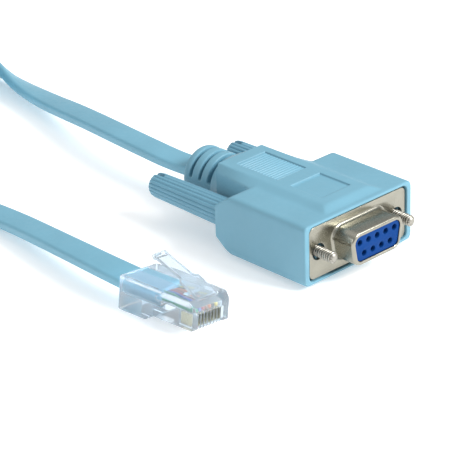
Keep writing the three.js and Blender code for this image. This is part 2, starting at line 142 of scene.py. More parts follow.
class Finish:
    """A material whose surface shader is fed by named nodes on Object coordinates."""

    def __init__(self, name, colour, roughness, metallic=0.0, **sockets):
        self.material = bpy.data.materials.new(name)
        self.material.use_nodes = True
        self.tree = self.material.node_tree
        self.shader = self.tree.nodes["Principled BSDF"]
        self.colour = colour
        self.set(self.shader, **{"Base Color": (*colour, 1), "Roughness": roughness, "Metallic": metallic})
        self.set(self.shader, **sockets)
        self.places = self.tree.nodes.new("ShaderNodeTexCoord").outputs["Object"]

    @staticmethod
    def set(node, **values):
        for socket, value in values.items():
            node.inputs[socket].default_value = value

    def link(self, source, node, socket):
        self.tree.links.new(source, node.inputs[socket])

    def stretched(self, scale):
        mapping = self.tree.nodes.new("ShaderNodeMapping")
        self.set(mapping, Scale=scale)
        self.link(self.places, mapping, "Vector")
        return mapping.outputs["Vector"]

    def noise(self, scale, detail=2.0, places=None):
        cloud = self.tree.nodes.new("ShaderNodeTexNoise")
        self.set(cloud, Scale=scale, Detail=detail)
        self.link(places or self.places, cloud, "Vector")
        return cloud.outputs["Fac"]

    def between(self, factor, low, high):
        span = self.tree.nodes.new("ShaderNodeMapRange")
        self.set(span, **{"From Min": 0.3, "From Max": 0.7, "To Min": low, "To Max": high})
        self.link(factor, span, "Value")
        return span.outputs["Result"]

    def vary_colour(self, factor, other):
        mix = self.tree.nodes.new("ShaderNodeMix")
        mix.data_type = "RGBA"
        a, b = [s for s in mix.inputs if s.type == "RGBA"]
        a.default_value, b.default_value = (*self.colour, 1), (*other, 1)
        self.tree.links.new(factor, mix.inputs[0])
        result = [s for s in mix.outputs if s.type == "RGBA"][0]
        self.link(result, self.shader, "Base Color")

    def vary_roughness(self, factor, low, high):
        self.link(self.between(factor, low, high), self.shader, "Roughness")

    def bump(self, height, strength, depth):
        relief = self.tree.nodes.new("ShaderNodeBump")
        self.set(relief, Strength=strength, Distance=depth)
        self.link(height, relief, "Height")
        before = self.shader.inputs["Normal"].links
        if before:
            self.link(before[0].from_socket, relief, "Normal")
        self.link(relief.outputs["Normal"], self.shader, "Normal")


def moulded(name, colour, roughness, shine=0.5):
    """Satin moulded plastic: slow flow marks, a fine eroded grain and uneven gloss."""
    finish = Finish(name, colour, roughness, **{"Specular IOR Level": shine})
    flow = finish.noise(90, 3)
    grain = finish.noise(5200, 2)
    finish.vary_colour(finish.between(flow, 0, 1), tuple(c * 0.93 for c in colour))
    finish.vary_roughness(finish.noise(700, 3), roughness - 0.05, roughness + 0.07)
    finish.bump(grain, 0.22, 0.00006)
    return finish.material


def plated(name, colour, roughness, drawn=(1, 1, 1)):
    """Plated metal: drawing marks along one way and cloudy gloss."""
    finish = Finish(name, colour, roughness, metallic=1.0)
    marks = finish.noise(2600, 3, finish.stretched(drawn))
    finish.vary_colour(finish.between(finish.noise(260, 2), 0, 1), tuple(c * 0.9 for c in colour))
    finish.vary_roughness(marks, roughness - 0.05, roughness + 0.09)
    finish.bump(marks, 0.10, 0.00003)
    return finish.material


def jacket(name, colour):
    """Extruded cable jacket: faint lengthwise die lines on the piece's own UV map."""
    finish = Finish(name, colour, 0.42)
    lines = finish.tree.nodes.new("ShaderNodeUVMap")
    lines.uv_map = "lengthwise"
    stretch = finish.tree.nodes.new("ShaderNodeMapping")
    finish.set(stretch, Scale=(60, 1.2, 1))
    finish.link(lines.outputs["UV"], stretch, "Vector")
    die = finish.noise(1.0, 2, stretch.outputs["Vector"])
    finish.vary_colour(finish.between(finish.noise(120, 2), 0, 1), tuple(c * 0.94 for c in colour))
    finish.vary_roughness(finish.noise(900, 3), 0.36, 0.48)
    finish.bump(die, 0.18, 0.00008)
    finish.bump(finish.noise(4200, 2), 0.15, 0.00004)
    return finish.material


def clear_moulding(name):
    """Clear polycarbonate with a faint haze, which lets the lamps through to what is inside."""
    finish = Finish(name, (0.66, 0.73, 0.78), 0.05, **{"Transmission Weight": 0.86, "IOR": 1.27})
    finish.vary_colour(finish.between(finish.noise(400, 2), 0, 1), (0.70, 0.77, 0.82))
    finish.vary_roughness(finish.noise(500, 3), 0.02, 0.07)
    finish.bump(finish.noise(900, 2), 0.05, 0.00005)
    tree = finish.tree
    rays = tree.nodes.new("ShaderNodeLightPath")
    through = tree.nodes.new("ShaderNodeBsdfTransparent")
    through.inputs["Color"].default_value = (0.90, 0.94, 0.97, 1)
    mix = tree.nodes.new("ShaderNodeMixShader")
    tree.links.new(rays.outputs["Is Shadow Ray"], mix.inputs["Fac"])
    tree.links.new(finish.shader.outputs["BSDF"], mix.inputs[1])
    tree.links.new(through.outputs["BSDF"], mix.inputs[2])
    tree.links.new(mix.outputs["Shader"], tree.nodes["Material Output"].inputs["Surface"])
    return finish.material


def woven_strap(name):
    """Black hook-and-loop webbing: crossing yarns and a dull fuzz."""
    finish = Finish(name, (0.018, 0.018, 0.020), 0.85, **{"Sheen Weight": 0.35, "Sheen Roughness": 0.5})
    warp = finish.noise(1500, 2, finish.stretched((1, 6, 6)))
    weft = finish.noise(1500, 2, finish.stretched((6, 1, 6)))
    finish.vary_colour(finish.between(warp, 0, 1), (0.045, 0.045, 0.050))
    finish.vary_roughness(weft, 0.75, 0.95)
    finish.bump(warp, 0.6, 0.0002)
    finish.bump(weft, 0.6, 0.0002)
    return finish.material


def pale_floor():
    bpy.ops.mesh.primitive_plane_add(size=8, location=(0, 0, -0.0002))
    floor = bpy.context.object
    floor.name = "pale_floor"
    finish = Finish("floor_paper", (0.93, 0.93, 0.93), 0.8)
    finish.set(finish.shader, **{"Specular IOR Level": 0.1, "Emission Strength": 0.30})
    finish.set(finish.shader, **{"Emission Color": (1, 1, 1, 1)})
    finish.vary_colour(finish.between(finish.noise(3, 2), 0, 1), (0.925, 0.925, 0.927))
    floor.data.materials.append(finish.material)


# Mesh making, in millimetres

def piece(name, points, faces, finish):
    """A mesh object from points in millimetres and faces of one corner count."""
    points = np.asarray(points, np.float32) * MM
    mesh = bpy.data.meshes.new(name)
    if isinstance(faces, np.ndarray):
        count, corners = faces.shape
        mesh.vertices.add(len(points))
        mesh.vertices.foreach_set("co", points.ravel())
        mesh.loops.add(count * corners)
        mesh.loops.foreach_set("vertex_index", faces.astype(np.int32).ravel())
        mesh.polygons.add(count)
        mesh.polygons.foreach_set("loop_start", np.arange(0, count * corners, corners, dtype=np.int32))
        mesh.update(calc_edges=True)
    else:
        mesh.from_pydata([tuple(map(float, p)) for p in points], [], faces)
    mesh.shade_smooth()
    mesh.materials.append(finish)
    made = bpy.data.objects.new(name, mesh)
    bpy.context.scene.collection.objects.link(made)
    return made


def put(obj, matrix):
    """Moves a mesh's points by a matrix in millimetres; the object stays at the origin."""
    shift = matrix.copy()
    shift.translation = shift.translation * MM
    obj.data.transform(shift)
    obj.data.update()
    return obj


def plain(obj, name=None):
    """The evaluated object as a plain mesh, in place of the object and its modifiers."""
    graph = bpy.context.evaluated_depsgraph_get()
    mesh = bpy.data.meshes.new_from_object(obj.evaluated_get(graph))
    name = name or obj.name
    bpy.data.objects.remove(obj)
    mesh.name = name
    made = bpy.data.objects.new(name, mesh)
    bpy.context.scene.collection.objects.link(made)
    return made


def outward(obj):
    """Welds a mesh and turns its faces outwards."""
    shell = bmesh.new()
    shell.from_mesh(obj.data)
    bmesh.ops.remove_doubles(shell, verts=shell.verts, dist=0.01 * MM)
    bmesh.ops.recalc_face_normals(shell, faces=shell.faces)
    shell.to_mesh(obj.data)
    shell.free()
    return obj


def joined(name, parts):
    """Several mesh objects as one."""
    bpy.ops.object.select_all(action="DESELECT")
    for part in parts:
        part.select_set(True)
    bpy.context.view_layer.objects.active = parts[0]
    bpy.ops.object.join()
    parts[0].name = parts[0].data.name = name
    return parts[0]


def edged(obj, angle=35):
    """Smooth faces with the sharp edges kept crisp."""
    obj.data.shade_smooth()
    obj.data.set_sharp_from_angle(angle=math.radians(angle))
    return obj


def loft(name, rings, finish, looped=False):
    """A skin over rings of points that have the same count, closed at its ends or looped."""
    sides = len(rings[0])
    points = [p for ring in rings for p in ring]
    faces = []
    steps = len(rings) if looped else len(rings) - 1
    for k in range(steps):
        for i in range(sides):
            j, n = (i + 1) % sides, (k + 1) % len(rings)
            faces.append((k * sides + i, k * sides + j, n * sides + j, n * sides + i))
    if not looped:
        faces.append(tuple(reversed(range(sides))))
        faces.append(tuple(len(points) - sides + i for i in range(sides)))
    return outward(piece(name, points, faces, finish))


def circle(radius, y, z, count=32):
    return [
        (y + radius * math.cos(2 * math.pi * i / count), z + radius * math.sin(2 * math.pi * i / count))
        for i in range(count)
    ]


def rounded_rectangle(width, height, radius, per_corner):
    """Points round a rectangle with round corners."""
    points = []
    for quarter, (side, up) in enumerate(QUARTERS):
        for i in range(per_corner):
            angle = math.pi / 2 * (quarter + i / (per_corner - 1))
            points.append((
                side * (width / 2 - radius) + radius * math.cos(angle),
                up * (height / 2 - radius) + radius * math.sin(angle),
            ))
    return points


def turned(name, stations, finish, sides=32, looped=False):
    """A body of rotation about X, from stations of place and radius."""
    thinnest = 0.01
    rings = [[(x, *spot) for spot in circle(max(r, thinnest), 0, 0, sides)] for x, r in stations]
    return loft(name, rings, finish, looped=looped)


def plate(name, outlines, low, high, edge, finish):
    """A flat plate with holes, its rims rounded: outlines in Y and Z, thickness along X."""
    curve = bpy.data.curves.new(name, "CURVE")
    curve.dimensions = "2D"
    curve.fill_mode = "BOTH"
    for outline in outlines:
        spline = curve.splines.new("POLY")
        spline.points.add(len(outline) - 1)
        for point, (y, z) in zip(spline.points, outline):
            point.co = (y * MM, z * MM, 0, 1)
        spline.use_cyclic_u = True
    curve.extrude = ((high - low) / 2 - edge) * MM
    curve.bevel_depth = edge * MM
    curve.offset = -edge * MM
    curve.bevel_resolution = 2
    made = bpy.data.objects.new(name, curve)
    bpy.context.scene.collection.objects.link(made)
    made = outward(plain(made))
    turn = Matrix(((0, 0, 1, (low + high) / 2), (1, 0, 0, 0), (0, 1, 0, 0), (0, 0, 0, 1)))
    put(made, turn)
    made.data.materials.clear()
    made.data.materials.append(finish)
    return edged(made)


# Rounded solids are sampled as distances on a grid, joined and cut softly, then skinned

def grid(low, high, step):
    axes = [np.arange(a, b + step, step, dtype=np.float32) for a, b in zip(low, high)]
    return np.meshgrid(*axes, indexing="ij", sparse=True)


def both(a, b, blend=0.0):
    """The part inside a and b, with its new edges rounded by blend."""
    sharp = np.maximum(a, b)
    if not blend:
        return sharp
    near = np.maximum(blend - np.abs(a - b), 0)
    return sharp + near * near / (4 * blend)


def either(a, b, blend=0.0):
    return -both(-a, -b, blend)


def without(a, b, blend=0.0):
    return both(a, -b, blend)


def brick(x, y, z, low, high, blend=0.0):
    """A box between two corners, its edges rounded."""
    middle = [(a + b) / 2 for a, b in zip(low, high)]
    half = [(b - a) / 2 for a, b in zip(low, high)]
    reach = [np.abs(p - m) - h for p, m, h in zip((x, y, z), middle, half)]
    return both(both(reach[0], reach[1], blend), reach[2], blend)


def slope(a, b, through, normal):
    """A plane's side in two of the axes: negative behind it."""
    size = math.hypot(*normal)
    return ((a - through[0]) * normal[0] + (b - through[1]) * normal[1]) / size


def skinned(name, field, low, step, finish):
    """A closed quad skin where the field crosses zero."""
    inside = field < 0
    shape = tuple(n - 1 for n in field.shape)

    def corner(a, dx, dy, dz):
        return a[dx:dx + shape[0], dy:dy + shape[1], dz:dz + shape[2]]

    steps = [(dx, dy, dz) for dx in (0, 1) for dy in (0, 1) for dz in (0, 1)]
    filled = sum(corner(inside, *s).astype(np.int8) for s in steps)
    active = (filled > 0) & (filled < 8)
    cells = np.argwhere(active)
    number = np.full(shape, -1, np.int64)
    number[active] = np.arange(len(cells))
    total = np.zeros((len(cells), 3), np.float64)
    crossings = np.zeros(len(cells))
    for axis in range(3):
        for start in steps:
            if start[axis]:
                continue
            end = tuple(s + (i == axis) for i, s in enumerate(start))
            a, b = corner(field, *start)[active], corner(field, *end)[active]
            crossed = (a < 0) != (b < 0)
            share = np.where(crossed, a / np.where(crossed, a - b, 1), 0)
            spot = np.array(start, float) + share[:, None] * np.eye(3)[axis]
            total += np.where(crossed[:, None], spot, 0)
            crossings += crossed
    points = np.array(low) + step * (cells + total / crossings[:, None])
    faces = []
    for axis in range(3):
        a = np.take(inside, range(shape[axis]), axis)
        b = np.take(inside, range(1, shape[axis] + 1), axis)
        spots = np.argwhere(a != b)
        u, v = (axis + 1) % 3, (axis + 2) % 3
        within = (spots[:, u] > 0) & (spots[:, v] > 0)
        within &= (spots[:, u] < shape[u]) & (spots[:, v] < shape[v])
        spots = spots[within]
        leaving = a[tuple(spots.T)]
        ring = []
        for du, dv in ((1, 1), (0, 1), (0, 0), (1, 0)):
            cell = spots.copy()
            cell[:, u] -= du
            cell[:, v] -= dv
            ring.append(number[tuple(cell.T)])
        quad = np.stack(ring, 1)
        quad[~leaving] = quad[~leaving][:, ::-1]
        faces.append(quad)
    return piece(name, points, np.concatenate(faces), finish)


def thinned(obj, share):
    """Fewer triangles where the skin is flat."""
    fewer = obj.modifiers.new("fewer_faces", "DECIMATE")
    fewer.ratio = share
    return edged(plain(obj), 15)


# Rows of like parts, made by Geometry Nodes

def row_tree():
    """Copies of one unit in a row: how many, where the first stands and the step to the next."""
    tree = bpy.data.node_groups.new("row_of_units", "GeometryNodeTree")
    kinds = {"Unit": "Object", "Count": "Int", "Start": "Vector", "Pitch": "Vector", "Finish": "Material"}
    for label, kind in kinds.items():
        tree.interface.new_socket(label, in_out="INPUT", socket_type="NodeSocket" + kind)
    tree.interface.new_socket("Geometry", in_out="OUTPUT", socket_type="NodeSocketGeometry")
    add = tree.nodes.new
    given, made = add("NodeGroupInput"), add("NodeGroupOutput")
    line = add("GeometryNodeMeshLine")
    unit = add("GeometryNodeObjectInfo")
    copies = add("GeometryNodeInstanceOnPoints")
    real = add("GeometryNodeRealizeInstances")
    dress = add("GeometryNodeSetMaterial")
    for source, target in (
        (given.outputs["Count"], line.inputs["Count"]),
        (given.outputs["Start"], line.inputs["Start Location"]),
        (given.outputs["Pitch"], line.inputs["Offset"]),
        (given.outputs["Unit"], unit.inputs["Object"]),
        (line.outputs["Mesh"], copies.inputs["Points"]),
        (unit.outputs["Geometry"], copies.inputs["Instance"]),
        (copies.outputs["Instances"], real.inputs["Geometry"]),
        (real.outputs["Geometry"], dress.inputs["Geometry"]),
        (given.outputs["Finish"], dress.inputs["Material"]),
        (dress.outputs["Geometry"], made.inputs["Geometry"]),
    ):
        tree.links.new(source, target)
    return tree


def thread_tree():
    """A screw thread: a ridge that winds round and along Z."""
    tree = bpy.data.node_groups.new("screw_thread", "GeometryNodeTree")
    kinds = dict.fromkeys(("Radius", "Length", "Turns", "Ridge"), "Float") | {"Finish": "Material"}
    for label, kind in kinds.items():
        tree.interface.new_socket(label, in_out="INPUT", socket_type="NodeSocket" + kind)
    tree.interface.new_socket("Geometry", in_out="OUTPUT", socket_type="NodeSocketGeometry")
    add = tree.nodes.new
    given, made = add("NodeGroupInput"), add("NodeGroupOutput")
    winding = add("GeometryNodeCurveSpiral")
    winding.inputs["Resolution"].default_value = 28
    ridge = add("GeometryNodeCurvePrimitiveCircle")
    ridge.inputs["Resolution"].default_value = 4
    swept = add("GeometryNodeCurveToMesh")
    swept.inputs["Fill Caps"].default_value = True
    real = add("GeometryNodeRealizeInstances")
    dress = add("GeometryNodeSetMaterial")
    for source, target in (
        (given.outputs["Radius"], winding.inputs["Start Radius"]),
        (given.outputs["Radius"], winding.inputs["End Radius"]),
        (given.outputs["Length"], winding.inputs["Height"]),
        (given.outputs["Turns"], winding.inputs["Rotations"]),
        (given.outputs["Ridge"], ridge.inputs["Radius"]),
        (winding.outputs["Curve"], swept.inputs["Curve"]),
        (ridge.outputs["Curve"], swept.inputs["Profile Curve"]),
        (swept.outputs["Mesh"], real.inputs["Geometry"]),
        (real.outputs["Geometry"], dress.inputs["Geometry"]),
        (given.outputs["Finish"], dress.inputs["Material"]),
        (dress.outputs["Geometry"], made.inputs["Geometry"]),
    ):
        tree.links.new(source, target)
    return tree


def grown(name, tree, **sizes):
    """A plain mesh grown by a node tree, its named inputs set by their identifiers."""
    seed = bpy.data.objects.new(name, bpy.data.meshes.new(name))
    bpy.context.scene.collection.objects.link(seed)
    modifier = seed.modifiers.new(tree.name, "NODES")
    modifier.node_group = tree
    for item in tree.interface.items_tree:
        if item.in_out == "INPUT":
            modifier[item.identifier] = sizes[item.name]
    made = plain(seed, name)
    made.data.shade_smooth()
    return made


def row(name, unit, count, start, pitch, finish):
    """Copies of a unit in a row, from start on, in steps of pitch."""
    first, to_next = [c * MM for c in start], [c * MM for c in pitch]
    return edged(grown(name, ROW, Unit=unit, Count=count, Start=first, Pitch=to_next, Finish=finish))


photo_camera()
studio()
pale_floor()
ROW = row_tree()
THREAD = thread_tree()

hood_blue = moulded("hood_plastic", (0.157, 0.358, 0.465), 0.45)
grip_blue = moulded("grip_plastic", (0.146, 0.345, 0.460), 0.42)
cable_blue = jacket("cable_jacket", (0.162, 0.386, 0.505))
insulator_blue = moulded("insulator_plastic", (0.004, 0.046, 0.205), 0.42, shine=0.06)
nickel = plated("nickel_plate", (0.36, 0.35, 0.295), 0.26, (1, 8, 8))
screw_steel = plated("screw_plate", (0.42, 0.405, 0.36), 0.40, (8, 1, 1))
gold = plated("gold_plate", (0.88, 0.74, 0.46), 0.30)
clear = clear_moulding("clear_plastic")
strap_black = woven_strap("strap_webbing")


# Cable

CABLE_WIDTH, CABLE_THICK = 7.0, 2.4
LIFT_LOW, LIFT_HIGH = 4.6, 11.8
JACKET_LIFT = 4.9
COIL = Vector((-153, -21, 0))
OUTER_TURN, TURN_SPACING, LAYER_TURNS = 41.09, 2.58, 3.25


def resting(roll):
    """Height of the flat cable's middle where it lies with this roll."""
    lean = math.radians(roll)
    return (CABLE_WIDTH * abs(math.sin(lean)) + CABLE_THICK * math.cos(lean)) / 2


def lifted(x, y, lift, roll):
    return (x, y, resting(roll) + lift, roll)


def in_plug(x):
    return (*(PLUG @ Vector((x, 0, JACKET_LIFT))), PLUG_TILT)


def cable_route():
    """Points from the strain relief through the coil to the plug, each with the cable's roll."""
    route = [(-20.0, 0, CROWN_TOP, 0), (-27.2, 0, CROWN_TOP, 0), (-36, -0.4, CROWN_TOP, 0)]
    route += [lifted(*p) for p in (
        (-46, 0.3, 6.9, 0), (-58, 1.9, 6.4, 0), (-70, 4.2, 5.4, 0), (-82, 6.8, 4, 0),
        (-94, 9.4, 2.2, 6), (-106, 11.8, 0.8, 22), (-117, 14.2, 0.3, 50),
    )]
    route += [(-127, 16.69, LIFT_LOW - 0.3, 76), (-135, 19.59, LIFT_LOW, 90)]
    turns, per_turn, change_over = 2 * LAYER_TURNS, 24, 0.30
    stations = int(turns * per_turn)
    for i in range(stations + 1):
        turn = turns * i / stations
        inward = LAYER_TURNS - abs(turn - LAYER_TURNS)
        radius = OUTER_TURN - inward * TURN_SPACING
        climb = min(max((turn - LAYER_TURNS) / change_over + 0.5, 0), 1)
        climb = climb * climb * (3 - 2 * climb)
        angle = math.radians(90) + turn * 2 * math.pi
        route.append((
            COIL.x + radius * math.cos(angle),
            COIL.y + radius * math.sin(angle),
            LIFT_LOW + (LIFT_HIGH - LIFT_LOW) * climb,
            90,
        ))
    back = [(-137, -62.09, LIFT_HIGH, -90), (-126, -60.09, LIFT_HIGH - 1.5, -88)]
    back += [lifted(*p) for p in (
        (-114, -55.7, 4.2, -74), (-101, -50.4, 1.6, -52), (-88, -45.5, 0.4, -28), (-74, -42, 0.2, -8),
        (-60, -40.7, 0.6, 0), (-46, -41.4, 1.7, 0), (-32, -43.2, 3, 0), (-20, -44.7, 3.8, 2),
        (-8, -45.8, 4.2, 5),
    )]
    back += [in_plug(PLUG_REAR), in_plug(-10.8)]
    return route, back


def smooth_line(points, spacing):
    """A centripetal curve through the points, sampled at even steps; any extra columns follow it."""
    points = np.array(points, float)
    per_span = 24
    whole = np.vstack([2 * points[0] - points[1], points, 2 * points[-1] - points[-2]])
    knots = np.concatenate([[0], np.cumsum(np.linalg.norm(np.diff(whole[:, :3], axis=0), axis=1) ** 0.5)])
    fine = []
    for i in range(1, len(whole) - 2):
        t0, t1, t2, t3 = knots[i - 1:i + 3]
        t = np.linspace(t1, t2, per_span, endpoint=False)[:, None]
        p0, p1, p2, p3 = whole[i - 1:i + 3]
        a1 = (t1 - t) / (t1 - t0) * p0 + (t - t0) / (t1 - t0) * p1
        a2 = (t2 - t) / (t2 - t1) * p1 + (t - t1) / (t2 - t1) * p2
        a3 = (t3 - t) / (t3 - t2) * p2 + (t - t2) / (t3 - t2) * p3
        b1 = (t2 - t) / (t2 - t0) * a1 + (t - t0) / (t2 - t0) * a2
        b2 = (t3 - t) / (t3 - t1) * a2 + (t - t1) / (t3 - t1) * a3
        fine.append((t2 - t) / (t2 - t1) * b1 + (t - t1) / (t2 - t1) * b2)
    fine = np.vstack([*fine, points[-1:]])
    along = np.concatenate([[0], np.cumsum(np.linalg.norm(np.diff(fine[:, :3], axis=0), axis=1))])
    even = np.linspace(0, along[-1], int(along[-1] / spacing) + 1)
    return np.stack([np.interp(even, along, column) for column in fine.T], 1)


def flat_cable():
    """One flat cable from end to end; its sides are numbered so that the roll never jumps."""
    route, back = cable_route()
    # On the way out the width's first edge points to -Y, on the way back it has turned over once
    back = [(x, y, z, roll + 180) for x, y, z, roll in back]
    line = smooth_line(route + back, 1.6)
    centre, roll = line[:, :3], np.radians(line[:, 3])
    ahead = np.gradient(centre, axis=0)
    ahead /= np.linalg.norm(ahead, axis=1)[:, None]
    level = np.cross((0, 0, 1), ahead)
    level /= np.linalg.norm(level, axis=1)[:, None]
    above = np.cross(ahead, level)
    wide = level * np.cos(roll)[:, None] + above * np.sin(roll)[:, None]
    thick = above * np.cos(roll)[:, None] - level * np.sin(roll)[:, None]
    section = np.array(rounded_rectangle(CABLE_WIDTH, CABLE_THICK, 0.8, per_corner=5))
    points = centre[:, None] + wide[:, None] * section[None, :, :1] + thick[:, None] * section[None, :, 1:]
    cable = loft("flat_cable", points, cable_blue)
    along = np.concatenate([[0], np.cumsum(np.linalg.norm(np.diff(centre, axis=0), axis=1))])
    sides, uv_per_metre = len(section), 40
    uv = cable.data.uv_layers.new(name="lengthwise")
    for polygon in cable.data.polygons:
        steps = [v // sides for v in polygon.vertices]
        spots = [v % sides for v in polygon.vertices]
        wraps = max(spots) - min(spots) > sides / 2
        for loop, k, i in zip(polygon.loop_indices, steps, spots):
            round_it = (i + sides * (wraps and i < sides / 2)) / sides
            uv.data[loop].uv = (round_it, along[min(k, len(along) - 1)] * MM * uv_per_metre)
    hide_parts("cable_run_serial", "cable_coil", "cable_run_plug")
    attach(cable, "base")
    return cable, centre * MM


def strap_loop():
    """A strap round the coil's bundle: a loop with round corners and the lap on its top."""
    left, right, top = -196.4, -183.2, 16.35
    radius, thick, half, edge = 1.9, 0.8, 4.0, 0.2
    webbing = [
        (0, edge - half), (0, half - edge), (0.3, half), (0.7, half),
        (1, half - edge), (1, edge - half), (0.7, -half), (0.3, -half),
    ]
    rings = []
    for quarter, (side, up) in enumerate(QUARTERS):
        x = (right if side > 0 else left) - radius * side
        z = (top if up > 0 else 0) - radius * up
        for i in range(7):
            angle = math.pi / 2 * (quarter + i / 6)
            rings.append([
                (
                    x + math.cos(angle) * (radius - thick * depth),
                    COIL.y + y,
                    z + math.sin(angle) * (radius - thick * depth),
                )
                for depth, y in webbing
            ])
    loop = loft("coil_strap", rings, strap_black, looped=True)
    lap = loft(
        "strap_lap",
        [
            [
                (x, COIL.y + y, z + lift)
                for y, z in ((-3.8, 16.3), (3.8, 16.3), (3.8, 16.95), (-3.8, 16.95))
            ]
            for x, lift in ((-195.0, -0.2), (-194.2, 0.0), (-188.0, 0.0), (-186.6, -0.05), (-186.0, -0.35))
        ],
        strap_black,
    )
    strap = joined("coil_strap", [loop, lap])
    edged(strap, 40)
    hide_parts("coil_tie")
    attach(strap, "base")
    return strap


# Moulded connector

def d_outline(inset, per_corner=13):
    """The D shape, wide at the top, drawn in by inset; the corners keep their centres."""
    lean = math.radians(10)
    half, radius = SHELL_HEIGHT / 2, 2.5
    slant = half * math.tan(lean)
    middle = SHELL_WIDTH / 2 - slant
    corners = [
        (middle + slant, half), (-middle - slant, half),
        (-middle + slant, -half), (middle - slant, -half),
    ]
    turns = [(-10, 90), (90, 190), (190, 270), (270, 350)]
    points = []
    for i, (y, z) in enumerate(corners):
        before, after = Vector(corners[i - 1]), Vector(corners[(i + 1) % 4])
        here = Vector((y, z))
        a, b = (before - here).normalized(), (after - here).normalized()
        opening = a.angle(b) / 2
        centre = here + (a + b).normalized() * (radius / math.sin(opening))
        start, end = turns[i]
        for k in range(per_corner):
            angle = math.radians(start + (end - start) * k / (per_corner - 1))
            points.append((
                centre.x + (radius - inset) * math.cos(angle),
                centre.y + (radius - inset) * math.sin(angle),
            ))
    return points


def hood():
    """Block, raised crown, neck and grooved strain relief, moulded as one."""
    step = 0.2
    low, high = (-50.9, -17.9, -8.9), (1.1, 17.9, 8.9)
    x, y, z = grid(low, high, step)
    ay, az = np.abs(y), np.abs(z)
    off_axis = np.sqrt(y * y + z * z)

    half_width, block_top, front, rear, bend = 17.2, 7.3, 0.4, -28.0, -23.2
    block = both(ay - half_width, az - block_top, 1.5)
    block = both(block, slope(x, az, (bend, block_top), (-3.5, 4.8)), 0.4)
    block = both(block, both(x - front, rear - x), 0.5)

    top_half, taper_length, taper = 7, 14.2, 2.4
    run = np.clip((bend - x) / taper_length, 0, 1)
    foot, drop = 10.2 - taper * run, 1.3 + 0.6 * run
    away = (ay - top_half) * drop + (az - CROWN_TOP) * (foot - top_half)
    shoulder = away / np.hypot(drop, foot - top_half)
    crown = both(both(az - CROWN_TOP, shoulder, 0.25), ay - foot, 0.25)
    crown = both(crown, slope(x, az, (-3.4, CROWN_TOP), (0.9, 2.2)), 0.25)

    relief_radius, relief_start, change, relief_end, crown_front = 6.45, -36.9, 3.6, -50.2, -1.2
    over = np.clip((relief_start - x) / change, 0, 1)
    crown = crown * (1 - over) + (off_axis - relief_radius) * over
    crown = both(crown, relief_end - x, 1.6)
    crown = both(crown, x - crown_front)
    body = either(block, crown, 0.25)

    groove_radius, bridge = 4.75, 1.0
    for middle, width in ((-41.35, 1.15), (-44.4, 0.85), (-47.4, 0.85)):
        groove = both(np.abs(x - middle) - width / 2, groove_radius - off_axis, 0.3)
        groove = both(groove, bridge - az, 0.5)
        body = without(body, groove, 0.35)

    panel_floor, above = 7.75, 9.5
    body = without(body, brick(x, y, az, (-16.1, -4.7, panel_floor), (-6.7, 4.7, above)), 0.05)
    body = without(body, brick(x, y, az, (-33.5, -4.5, panel_floor), (-20.4, 4.7, above)), 0.05)

    seat_half_width, seat_half_height, seat_floor = 15.7, 6.55, -1.3
    seat = both(ay - seat_half_width, az - seat_half_height, 1.6)
    body = without(body, both(seat, seat_floor - x), 0.35)

    screw_bore, grip_bore = 1.8, 3.85
    off_screw = np.sqrt((ay - SCREW_Y) ** 2 + z * z)
    body = without(body, off_screw - screw_bore)
    body = without(body, both(off_screw - grip_bore, x - rear), 0.3)
    made = thinned(skinned("hood_moulding", body, low, step, hood_blue), 0.45)
    put(made, CONNECTOR)
    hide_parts("hood")
    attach(made, "base")


def rib(length):
    """One grip rib: a low rounded ridge across the crown."""
    profile = [
        (-0.36, -0.45), (-0.29, 0.10), (-0.15, 0.33), (0, 0.40), (0.15, 0.33), (0.29, 0.10), (0.36, -0.45),
    ]
    half, run_out, low_end = length / 2, 0.35, 0.55
    rings = []
    for y, share in ((-half, low_end), (-half + run_out, 1), (half - run_out, 1), (half, low_end)):
        rings.append([(px, y, (pz if pz < 0 else pz * share)) for px, pz in profile])
    return loft("grip_rib", rings, hood_blue)


def grip_ribs():
    """The ribbed panels on the crown's top and underside."""
    ribs_across, rib_pitch = 14, 0.92
    for name, turn in (("grip_ribs_top", 0), ("grip_ribs_under", math.pi)):
        unit = rib(9.0)
        ribs = row(name, unit, ribs_across, (-32.95, 0.05, 7.66), (rib_pitch, 0, 0), hood_blue)
        bpy.data.objects.remove(unit)
        put(ribs, CONNECTOR @ Matrix.Rotation(turn, 4, "X"))
        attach(ribs, "base")


def arc(centre, radius, start, end, count):
    """Points along an arc between two angles in degrees."""
    angles = [math.radians(start + (end - start) * i / count) for i in range(count + 1)]
    return [(centre[0] + radius * math.cos(a), centre[1] + radius * math.sin(a)) for a in angles]


def front_shell():
    """Nickel flange and D shell: filleted at its base, rolled in over the insulator."""
    flange = [rounded_rectangle(FLANGE_WIDTH, FLANGE_HEIGHT, 1.4, per_corner=8), d_outline(-0.2)]
    screw_hole = 3.9
    flange += [circle(screw_hole / 2, side * SCREW_Y, 0) for side in (-1, 1)]
    steel = plate("shell_flange", flange, -1.0, 0.0, 0.10, nickel)
    fillet, roll = 0.8, 0.62
    profile = arc((-fillet, 0.78), fillet, 270, 360, 6)
    profile += arc((roll, SHELL_REACH - roll), roll, 180, 90, 8)
    profile += [(0.86, SHELL_REACH), (0.94, 6.02), (0.94, 5.75), (0.84, 5.68)]
    profile += arc((0.66, 5.44), 0.22, 90, 180, 4)
    profile += [(0.44, -0.9), (-0.6, -0.9)]
    rings = [[(x, py, pz) for py, pz in d_outline(inset)] for inset, x in profile]
    wall = loft("shell_wall", rings, nickel, looped=True)
    made = joined("front_shell_drawn", [wall, steel])
    edged(made, 40)
    put(made, CONNECTOR)
    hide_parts("front_shell")
    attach(made, "base")


